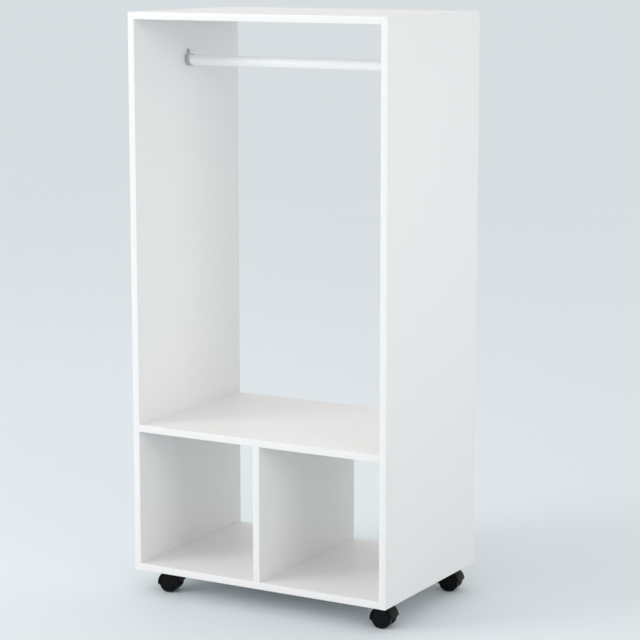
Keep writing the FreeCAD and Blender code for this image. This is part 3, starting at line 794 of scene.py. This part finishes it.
@dataclass
class DomedScrew:
    """A short domed screw with a cross recess, made about its own axis with the head's seat at 0."""

    head_radius: float = 0.0033
    head_height: float = 0.002
    shank_radius: float = 0.00175
    length: float = 0.013
    point: float = 0.003
    recess_reach: float = 0.0019
    recess_width: float = 0.00042
    recess_depth: float = 0.0011
    recess_edge: float = 0.00012
    pole_share: float = 0.06
    askew: Vector3 = (0.31, 0.62, 0.17)
    segments: int = 64

    def rings(self) -> tuple[np.ndarray, np.ndarray]:
        """The screw as rings and its two poles, with the head towards -Z.

        The head is a flattened dome, -head_height sqrt(1 - (r / head_radius)^3). The recess lifts it by
        recess_depth inside a cross: where the smaller of |x| and |y| is under recess_width and r is under
        recess_reach, both with soft edges.

        Returns:
            The rings and the poles.
        """
        share = np.linspace(self.pole_share, 1.0, 22)
        drop = -self.head_height * np.sqrt(np.clip(1 - share**3, 0, 1))
        dome = np.stack([self.head_radius * share, drop], axis=-1)
        tip = (self.shank_radius * 0.15, self.length - self.point * 0.1)
        shank = [(self.shank_radius, 0.0), (self.shank_radius, self.length - self.point), tip]
        rings = turned(np.vstack([dome, shank]), self.segments)
        head = rings[: len(dome)]
        narrow = np.minimum(np.abs(head[..., 0]), np.abs(head[..., 1]))
        reach = np.hypot(head[..., 0], head[..., 1])
        inside = np.clip((self.recess_width - narrow) / self.recess_edge, 0, 1)
        inside *= np.clip((self.recess_reach - reach) / self.recess_edge, 0, 1)
        head[..., 2] += self.recess_depth * inside
        poles = np.array([[0, 0, self.recess_depth - self.head_height], [0, 0, self.length]])
        return rings, poles

    def at(self, name: str, seat: Sequence[float], inward: Sequence[float]) -> bpy.types.Object:
        """One screw.

        Args:
            name: its name.
            seat: the point under its head.
            inward: the unit direction that its point goes.

        Returns:
            The screw.
        """
        rings, poles = self.rings()
        along = np.asarray(inward, float)
        across = np.cross(along, self.askew)
        across /= np.linalg.norm(across)
        axes = (across, np.cross(along, across), along)
        poles = stand(poles, axes, seat)
        return loft(name, stand(rings, axes, seat), poles)


@dataclass
class HangingRail:
    """The white tube, and the two open cups that it lies in."""

    body: str = "hanging_rail"
    carrier: str = "carcass"
    wall: float = 0.0012
    lip: float = 0.0004
    cup_clearance: float = 0.0003
    cup_wall: float = 0.0012
    cup_plate: float = 0.0016
    cup_reach: float = 0.012
    cup_lean: float = 9.0
    cup_above_rail: float = 0.0005
    ear_width: float = 0.010
    ear_above_rail: float = 0.013
    ear_fillet: float = 0.0015
    sheet_edge: float = 0.0004
    side_gap: float = 0.0002
    plate_inset: float = 0.0003
    segments: int = 128
    screw: DomedScrew = field(default_factory=DomedScrew)

    def __post_init__(self) -> None:
        """Read the tube's place and radius from the frame, and work out the ear's height over it."""
        low, high = box("hanging_rail")
        self.centre = (low + high) / 2
        self.half = (high[0] - low[0]) / 2
        self.radius = (high[2] - low[2]) / 2
        self.ear = self.radius + self.ear_above_rail - self.ear_width / 2

    def tube(self) -> bpy.types.Object:
        """The tube: a rectangle of wall by length with its four corners rounded, turned about X.

        Returns:
            The tube.
        """
        outline = rounded_box(self.wall, 2 * self.half, (self.lip,) * 4)
        outline[:, 0] += self.radius - self.wall / 2
        rings = turned(outline, self.segments)
        axes = ((0, 1, 0), (0, 0, 1), (1, 0, 0))
        return loft("white_rail_tube", stand(rings, axes, self.centre))

    def cup_band(self, name: str, axes: np.ndarray, origin: np.ndarray) -> bpy.types.Object:
        """The wall of a cup: a rounded strip carried down one cheek, round the rail and up the other.

        Its reach from the panel shrinks with height, by the tangent of cup_lean times the height.

        Args:
            name: its name.
            axes: the cup's own axes, out from the side panel first.
            origin: the rail's axis on the side panel.

        Returns:
            The band.
        """
        middle = self.radius + self.cup_clearance + self.cup_wall / 2
        rise = self.radius + self.cup_above_rail
        straight = np.linspace(rise, 0, 5)[:-1]
        left = np.stack([np.full(len(straight), -middle), straight], axis=-1)
        bend = arc((0, 0), middle, 180, 360, 33)
        route = np.vstack([left, bend, left[::-1] * (-1, 1)])
        outward = np.zeros_like(route)
        outward[:, 0] = np.sign(route[:, 0])
        below = route[:, 1] <= 0
        outward[below] = route[below] / middle
        section = rounded_box(self.cup_wall, self.cup_reach - self.side_gap, (self.sheet_edge,) * 4)
        yz = route[:, None, :] + outward[:, None, :] * section[None, :, :1]
        shorter = math.tan(math.radians(self.cup_lean)) * (yz[..., 1] + middle) / self.cup_reach
        x = (section[:, 1] + self.cup_reach / 2) * (1 - shorter)
        rings = np.concatenate([x[..., None], yz], axis=-1)
        rings = stand(rings, axes, origin)
        return loft(name, rings, (rings[0].mean(axis=0), rings[-1].mean(axis=0)))

    def cup_back(self, name: str, axes: np.ndarray, origin: np.ndarray) -> bpy.types.Object:
        """The back plate with its ear: the outline, shrunk towards the rail's axis over each face.

        Args:
            name: its name.
            axes: the cup's own axes, out from the side panel first.
            origin: the rail's axis on the side panel.

        Returns:
            The plate.
        """
        outer = self.radius + self.cup_clearance + self.cup_wall - self.plate_inset
        rise = self.radius + self.cup_above_rail - self.side_gap
        half, fillet = self.ear_width / 2, self.ear_fillet
        right = np.vstack(
            [
                arc((0, 0), outer, -90, 0, 24),
                arc((outer - fillet, rise - fillet), fillet, 0, 90, 7),
                arc((half + fillet, rise + fillet), fillet, 270, 180, 7),
                arc((0, self.ear), half, 0, 90, 14),
            ]
        )
        outline = np.vstack([right, right[-2:0:-1] * (-1, 1)])
        face, soft = self.cup_plate, self.sheet_edge
        depths = np.array([0, 0, face - soft, face - soft * 0.3, face])
        scales = np.array([0.97, 1.0, 1.0, 0.985, 0.96])
        yz = outline * scales[:, None, None]
        x = np.broadcast_to(depths[:, None], yz.shape[:2])
        rings = stand(np.concatenate([x[..., None], yz], axis=-1), axes, origin)
        poles = stand(np.array([[0, 0, 0], [face, 0, 0]]), axes, origin)
        return loft(name, rings, poles)

    def cups(self) -> None:
        """Both cups with their screws."""
        plated = PlatedSteel().material("plated_cup_steel")
        screws = []
        for side in Side:
            name = side.name.lower()
            low, high = box(f"rail_bracket_{name}")
            wall = low[0] if side is Side.LEFT else high[0]
            origin = np.array([wall, self.centre[1], self.centre[2]])
            axes = np.diag([-side.value, 1.0, 1.0])
            back = self.cup_back(f"cup_back_{name}", axes, origin)
            band = self.cup_band(f"cup_band_{name}", axes, origin)
            cup = join(f"rail_cup_{name}", [back, band])
            finish_piece(cup, self.carrier, plated, f"rail_bracket_{name}")
            for rise in (0.0, self.ear):
                seat = origin + axes @ np.array([self.cup_plate, 0, rise])
                screws.append(self.screw.at(f"cup_screw_{name}_{rise:.3f}", seat, (side.value, 0, 0)))
        joined = join("rail_cup_screws", screws)
        finish_piece(joined, self.carrier, plated, "rail_bracket_screws")

    def build(self) -> None:
        """Make the tube and its cups."""
        paint = TubePaint(self.centre[2] + self.radius, self.radius).material("white_tube_paint")
        finish_piece(self.tube(), self.body, paint, "hanging_rail")
        self.cups()


@dataclass
class CasterFinishes:
    """The finishes that the four casters share."""

    hood: bpy.types.Material
    wheel: bpy.types.Material
    plate: bpy.types.Material
    steel: bpy.types.Material
    washer: bpy.types.Material


@dataclass
class Caster:
    """One twin-wheel caster. Its shapes are made on the swivel axis, trailing towards +X, then turned."""

    end: End
    side: Side
    finishes: CasterFinishes
    carrier: str = "carcass"
    wheel_width: float = 0.0135
    wheel_gap: float = 0.011
    wheel_wall: float = 0.0024
    wheel_crown: float = 0.0008
    tread_ease: float = 0.0011
    back_ease: float = 0.0008
    face_step: float = 0.0002
    groove_depth: float = 0.0009
    cap_drop: float = 0.00055
    hub_radius: float = 0.0055
    hub_clearance: float = 0.0003
    bore_radius: float = 0.00255
    ribs: int = 8
    rib_height: float = 0.0045
    rib_margin: float = 0.0012
    hood_gap: float = 0.0015
    hood_wall: float = 0.0018
    hood_edges: tuple[float, ...] = (0.0006, 0.0006, 0.0009, 0.0009)
    hood_front: float = 195.0
    hood_rear: float = 2.0
    lip_radius: float = 0.0005
    web_thickness: float = 0.005
    web_radius: float = 0.017
    web_edge: float = 0.0006
    web_overlap: float = 0.001
    web_skin: float = 0.0002
    web_back_off: float = 1.5
    boss_radius: float = 0.005
    boss_edges: tuple[float, ...] = (0.0003, 0.0005, 0.0005, 0.0003)
    boss_above_axle: float = 0.003
    pin_radius: float = 0.00305
    plate_corner: float = 0.004
    plate_edge: float = 0.0005
    plate_dish: float = 0.0003
    segments: int = 144

    def __post_init__(self) -> None:
        """Read the place, trail, turn and wheel radius from the record's joints."""
        self.corner = f"{self.end.name}_{self.side.name}".lower()
        swivel = joint(f"swivel_{self.corner}")
        wheel = joint(f"front_wheel_spin_{self.corner}")
        self.origin = np.array([*swivel["pos_m"][:2], 0.0])
        offset = np.array(wheel["pos_m"]) - self.origin
        self.trail = float(np.hypot(offset[0], offset[1]))
        self.wheel_radius = float(offset[2])
        cosine, sine = offset[0] / self.trail, offset[1] / self.trail
        self.axes = np.array([[cosine, sine, 0], [-sine, cosine, 0], [0, 0, 1]])
        self.axle = np.array([self.trail, 0.0, self.wheel_radius])
        self.half = self.wheel_gap / 2 + self.wheel_width

    def put(self, points: np.ndarray) -> np.ndarray:
        """Move points from the caster's own axes into the frame."""
        return stand(points, self.axes, self.origin)

    def wheel_profile(self) -> np.ndarray:
        """Half the section of a wheel as (radius, distance out from the middle of the caster).

        It runs from the blind end of the bore over the hub, down into the hollow back, round the rim and
        over the face to its middle. The face has a flat rim, a shallow groove, a disc that rises by
        1 - s^2 as s goes from 1 at the groove to 0, and a domed cap over the hub, half - cap_drop s^2.

        Returns:
            The profile, one pair per row.
        """
        back, face = self.wheel_gap / 2, self.half - self.wheel_crown
        blind, floor = self.half - self.wheel_wall, face - self.wheel_wall
        bore, hub, rim = self.bore_radius, self.hub_radius, self.wheel_radius - self.wheel_wall
        hub_back = self.web_thickness / 2 + self.hub_clearance
        step, deep = self.face_step, face - self.groove_depth
        hollow = np.linspace(hub + self.rib_margin, rim - self.rib_margin, 8)
        share = np.linspace(1.0, 0.0, 12)
        disc_inner, disc_outer = hub + 8 * step, rim - 11 * step
        disc_radius = disc_inner + (disc_outer - disc_inner) * share
        disc = np.stack([disc_radius, face - 2 * step + 3 * step * (1 - share**2)], axis=-1)
        dome = np.cos(np.radians(np.linspace(52, 88, 8)))
        dome /= dome[0]
        cap = np.stack([hub * dome, self.half - self.cap_drop * dome**2], axis=-1)
        tread_centre = (self.wheel_radius - self.tread_ease, face - self.tread_ease)
        back_centre = (self.wheel_radius - self.back_ease, back + self.back_ease)
        return np.vstack(
            [
                [(2 * step, blind), (bore, blind), (bore, hub_back), (hub - self.hub_clearance, hub_back)],
                [(hub, hub_back + self.hub_clearance), (hub, floor)],
                np.stack([hollow, np.full(len(hollow), floor)], axis=-1),
                [(rim, floor), (rim, back + 2 * step), (rim + 2 * step, back)],
                arc(back_centre, self.back_ease, -90, 0, 6),
                arc(tread_centre, self.tread_ease, 0, 90, 8),
                [(rim + step, face), (rim - step, face - step), (rim - 3 * step, deep)],
                [(rim - 7 * step, deep), (rim - 9 * step, deep + 2 * step)],
                disc,
                [(hub + 6 * step, face + step / 2), (hub + 2 * step, face - step / 2)],
                cap,
            ]
        )

    def wheel(self, end: End) -> None:
        """One wheel: its profile turned about the axle, with ribs raised from the floor of its hollow back.

        A rib stands where cos(ribs t) is near 1: its height climbs from 0 to rib_height as that cosine
        goes from 0.90 to 0.96. There is none next to the hub and the rim.

        Args:
            end: the front or the rear wheel of the pair.
        """
        profile = self.wheel_profile()
        rings = turned(profile, self.segments)
        radius, height = profile[:, :1], profile[:, 1:]
        hollow = np.isclose(height, self.half - self.wheel_crown - self.wheel_wall)
        hollow &= radius > self.hub_radius + self.rib_margin / 2
        hollow &= radius < self.wheel_radius - self.wheel_wall - self.rib_margin / 2
        angle = np.arange(self.segments) * (2 * np.pi / self.segments)
        rib = np.clip((np.cos(self.ribs * angle) - 0.90) / 0.06, 0, 1)
        rings[..., 2] -= hollow * rib * self.rib_height
        axes = ((1, 0, 0), (0, 0, 1), (0, end.value, 0))
        poles = np.array([[0, 0, self.half - self.wheel_wall], [0, 0, self.half]])
        rings = self.put(stand(rings, axes, self.axle))
        poles = self.put(stand(poles, axes, self.axle))
        name = end.name.lower()
        made = loft(f"caster_{self.corner}_{name}_wheel", rings, poles, 28.0)
        node = f"{name}_wheel_{self.corner}"
        finish_piece(made, node, self.finishes.wheel, node)

    def arched(self, name: str, section: np.ndarray, start: float, stop: float) -> bpy.types.Object:
        """A closed section carried round the axle.

        A section point (y, r) at the angle t goes to (r cos t, y, r sin t) about the axle. Over the last
        lip_radius at each end the section shrinks towards its middle along most of a quarter circle,
        which rounds the ends.

        Args:
            name: the surface's name.
            section: the closed section, as width across the caster and distance from the axle.
            start: first angle in degrees, from +X upwards.
            stop: last angle in degrees.

        Returns:
            The surface.
        """
        middle = section.mean(axis=0)
        reach = np.abs(section - middle)
        bend = np.radians(np.linspace(0, 75, 5))
        inset = self.lip_radius * (1 - np.cos(bend))
        ahead = np.degrees(self.lip_radius * (1 - np.sin(bend)) / middle[1])
        run = np.linspace(start + ahead[0], stop - ahead[0], 57)[1:-1]
        turn = np.radians(np.concatenate([start + ahead[::-1], run, stop - ahead]))[:, None]
        insets = np.concatenate([inset[::-1], np.zeros(len(run)), inset])[:, None, None]
        shrunk = middle + np.sign(section - middle) * np.maximum(reach - insets, reach * 0.2)
        across, out = shrunk[..., 0], shrunk[..., 1]
        rings = self.put(np.stack([out * np.cos(turn), across, out * np.sin(turn)], axis=-1) + self.axle)
        return loft(name, rings, (rings[0].mean(axis=0), rings[-1].mean(axis=0)))

    def hood(self) -> None:
        """The hood over the wheels, the round web between them and the pin's socket."""
        inner = self.wheel_radius + self.hood_gap
        shell = rounded_box(2 * self.half, self.hood_wall, self.hood_edges)
        shell[:, 1] += inner + self.hood_wall / 2
        web_low, web_high = self.web_radius - self.web_overlap, inner + self.hood_wall / 2
        skin = self.web_skin
        web = rounded_box(self.web_thickness - skin, web_high - web_low, (skin,) * 4)
        web[:, 1] += (web_low + web_high) / 2
        ring = rounded_box(self.web_radius - self.bore_radius, self.web_thickness, (self.web_edge,) * 4)
        ring[:, 0] += (self.web_radius + self.bore_radius) / 2
        disc = self.put(stand(turned(ring, 96), ((1, 0, 0), (0, 0, 1), (0, 1, 0)), self.axle))
        node = f"wheel_hood_{self.corner}"
        base = self.wheel_radius + self.boss_above_axle
        height = box(node)[1][2] - base
        tube = rounded_box(self.boss_radius - self.pin_radius, height, self.boss_edges)
        tube += ((self.boss_radius + self.pin_radius) / 2, base + height / 2)
        rear, front, back_off = self.hood_rear, self.hood_front, self.web_back_off
        parts = [
            self.arched("hood_shell", shell, rear, front),
            self.arched("hood_web", web, rear + back_off, front - back_off),
            loft("hood_disc", disc),
            loft("hood_socket", self.put(turned(tube, 64))),
        ]
        body = f"caster_{self.corner}"
        finish_piece(join(f"{body}_hood", parts), body, self.finishes.hood, node)

    def plate(self) -> None:
        """The mounting plate: a square with round corners, its lower edge eased, dished round the pin.

        The outline is carried from the middle of the top face over the edge to the middle of the lower
        face by scaling it, and the scale is 1 only at the edge.
        """
        node = f"caster_plate_{self.corner}"
        low, high = box(node)
        centre, size = (low + high) / 2, high - low
        outline = rounded_box(size[0], size[1], (self.plate_corner,) * 4, 10)
        top, soft = size[2] / 2, self.plate_edge
        base, dished = -top, self.plate_dish - top
        scales = np.array([0.55, 0.985, 1.0, 1.0, 0.99, 0.97, 0.5, 0.46, 0.30])
        heights = [top, top, top - soft / 2, base + soft, base + soft * 0.3, base, base, dished, dished]
        flat = outline * scales[:, None, None]
        z = np.broadcast_to(np.array(heights)[:, None, None], (*flat.shape[:2], 1))
        poles = np.array([[0, 0, top], [0, 0, dished]]) + centre
        rings = np.concatenate([flat, z], axis=-1) + centre
        made = loft(f"caster_{self.corner}_plate", rings, poles)
        finish_piece(made, self.carrier, self.finishes.plate, node)

    def build(self) -> None:
        """Make the caster's visible pieces and dress the ones inside it."""
        for end in End:
            self.wheel(end)
        self.hood()
        self.plate()
        for node in ("wheel_axle", "swivel_pin", "retaining_ring"):
            dress(f"{node}_{self.corner}", self.finishes.steel)
        dress(f"thrust_washer_{self.corner}", self.finishes.washer)


@dataclass
class CasterSet:
    """Four casters and the screws through their plates."""

    carrier: str = "carcass"
    screw_pitch: float = 0.032
    screw: DomedScrew = field(default_factory=DomedScrew)

    def build(self) -> None:
        """Make the casters and their screws."""
        wheel = MouldedPlastic(
            black=(0.005, 0.005, 0.0055),
            roughness=0.33,
            texture=0.0004,
            relief=0.00002,
            dusty_below=0.007,
        )
        washer = MouldedPlastic(black=(0.03, 0.03, 0.03), roughness=0.5)
        axle = PlatedSteel(light=(0.58, 0.60, 0.64), grain=(1.0, 0.06, 1.0))
        finishes = CasterFinishes(
            hood=MouldedPlastic().material("black_hood_plastic"),
            wheel=wheel.material("black_wheel_plastic"),
            plate=BlackedSteel().material("black_plate_steel"),
            steel=axle.material("axle_steel"),
            washer=washer.material("black_washer_plastic"),
        )
        screws = []
        half = self.screw_pitch / 2
        for end, side in itertools.product(End, Side):
            caster = Caster(end, side, finishes)
            caster.build()
            low, _ = box(f"caster_plate_{caster.corner}")
            for across, along in itertools.product((-half, half), repeat=2):
                seat = caster.origin + (across, along, low[2])
                screws.append(self.screw.at(f"plate_screw_{len(screws)}", seat, (0, 0, 1)))
        blacked = BlackedSteel(worn=(0.2, 0.2, 0.21)).material("black_screw_steel")
        joined = join("caster_plate_screws", screws)
        finish_piece(joined, self.carrier, blacked, "caster_screws")


@dataclass(frozen=True)
class SoftPanel:
    """One square area light: where it stands, what it faces, its edge, watts and spread in degrees."""

    name: str
    place: Vector3
    target: Vector3
    size: float
    power: float
    spread: float
    colour: Colour = (1.0, 0.985, 0.97)

    def light(self) -> None:
        """Hang the light, unseen by the camera."""
        data = bpy.data.lights.new(self.name, "AREA")
        data.shape = "SQUARE"
        data.size = self.size
        data.energy = self.power
        data.spread = math.radians(self.spread)
        data.color = self.colour
        lamp = stage_object(self.name, data)
        lamp.location = self.place
        lamp.visible_camera = False
        facing = Vector(self.target) - Vector(self.place)
        lamp.rotation_euler = facing.to_track_quat("-Z", "Y").to_euler()


@dataclass
class Studio:
    """A pale floor, soft light all round with a large soft key, and the camera."""

    azimuth: float = 29.79
    pitch: float = -9.648
    lens: float = 126.1
    eye: Vector3 = (2.3209, -3.9911, 1.3667)
    far_clip: float = 500.0
    floor_colour: Colour = (0.765, 0.825, 0.86)
    floor_size: float = 400.0
    zenith: Colour = (1.0, 0.995, 0.99)
    horizon: Colour = (0.76, 0.82, 0.85)
    sky_strength: float = 0.88
    sky_rise: float = 0.22
    panels: tuple[SoftPanel, ...] = (
        SoftPanel("key_light", (-3.5, -3.8, 2.5), (0.0, 0.0, 0.6), 2.4, 102.0, 180.0),
        SoftPanel("right_light", (3.3, -1.5, 1.6), (0.3, 0.0, 0.95), 1.2, 1.6, 40.0),
    )

    def floor(self) -> None:
        """A wide floor with a very faint mottle."""
        half = self.floor_size / 2
        mesh = bpy.data.meshes.new("floor")
        corners = [(-half, -half, 0), (half, -half, 0), (half, half, 0), (-half, half, 0)]
        mesh.from_pydata(corners, [], [(0, 1, 2, 3)])
        material = bpy.data.materials.new("pale_floor")
        graph = Graph(material)
        cloud = graph.noise(1.6, 2.0)
        shade = tuple(0.97 * value for value in self.floor_colour)
        graph.feed("Base Color", graph.mix(cloud, self.floor_colour, shade))
        graph.feed("Roughness", 0.6)
        graph.feed("Specular IOR Level", 0.2)
        mesh.materials.append(material)
        stage_object("floor", mesh)

    def light(self) -> None:
        """A sky that pales from the floor's colour upwards, and soft panels to the left and the right."""
        world = bpy.data.worlds.new("soft_sky")
        bpy.context.scene.world = world
        graph = Graph(world)
        coordinates = graph.node("ShaderNodeTexCoord", {}, {})
        split = graph.node("ShaderNodeSeparateXYZ", {}, {"Vector": coordinates.outputs["Generated"]})
        rise = Signal(graph, split.outputs["Z"]).band(0.0, self.sky_rise)
        graph.feed("Color", graph.mix(rise, self.horizon, self.zenith))
        graph.feed("Strength", self.sky_strength)
        for panel in self.panels:
            panel.light()

    def camera(self) -> None:
        """A long lens to the right of the front, a little above the rack and looking slightly down."""
        data = bpy.data.cameras.new("camera")
        data.lens = self.lens
        data.sensor_width = 36.0
        data.clip_end = self.far_clip
        camera = stage_object("camera", data)
        camera.location = self.eye
        camera.rotation_euler = (math.radians(90 + self.pitch), 0.0, math.radians(self.azimuth))
        bpy.context.scene.camera = camera

    def build(self) -> None:
        """Make the floor, the lights and the camera, and show colours as they are."""
        self.floor()
        self.light()
        self.camera()
        bpy.context.scene.view_settings.view_transform = "Standard"
        log.info("studio ready")


def main() -> None:
    """Build the studio and every sub-assembly in order."""
    logging.basicConfig(level=logging.INFO, format="%(message)s")
    Studio().build()
    Carcass().build()
    HangingRail().build()
    CasterSet().build()


if __name__ == "__main__":
    main()
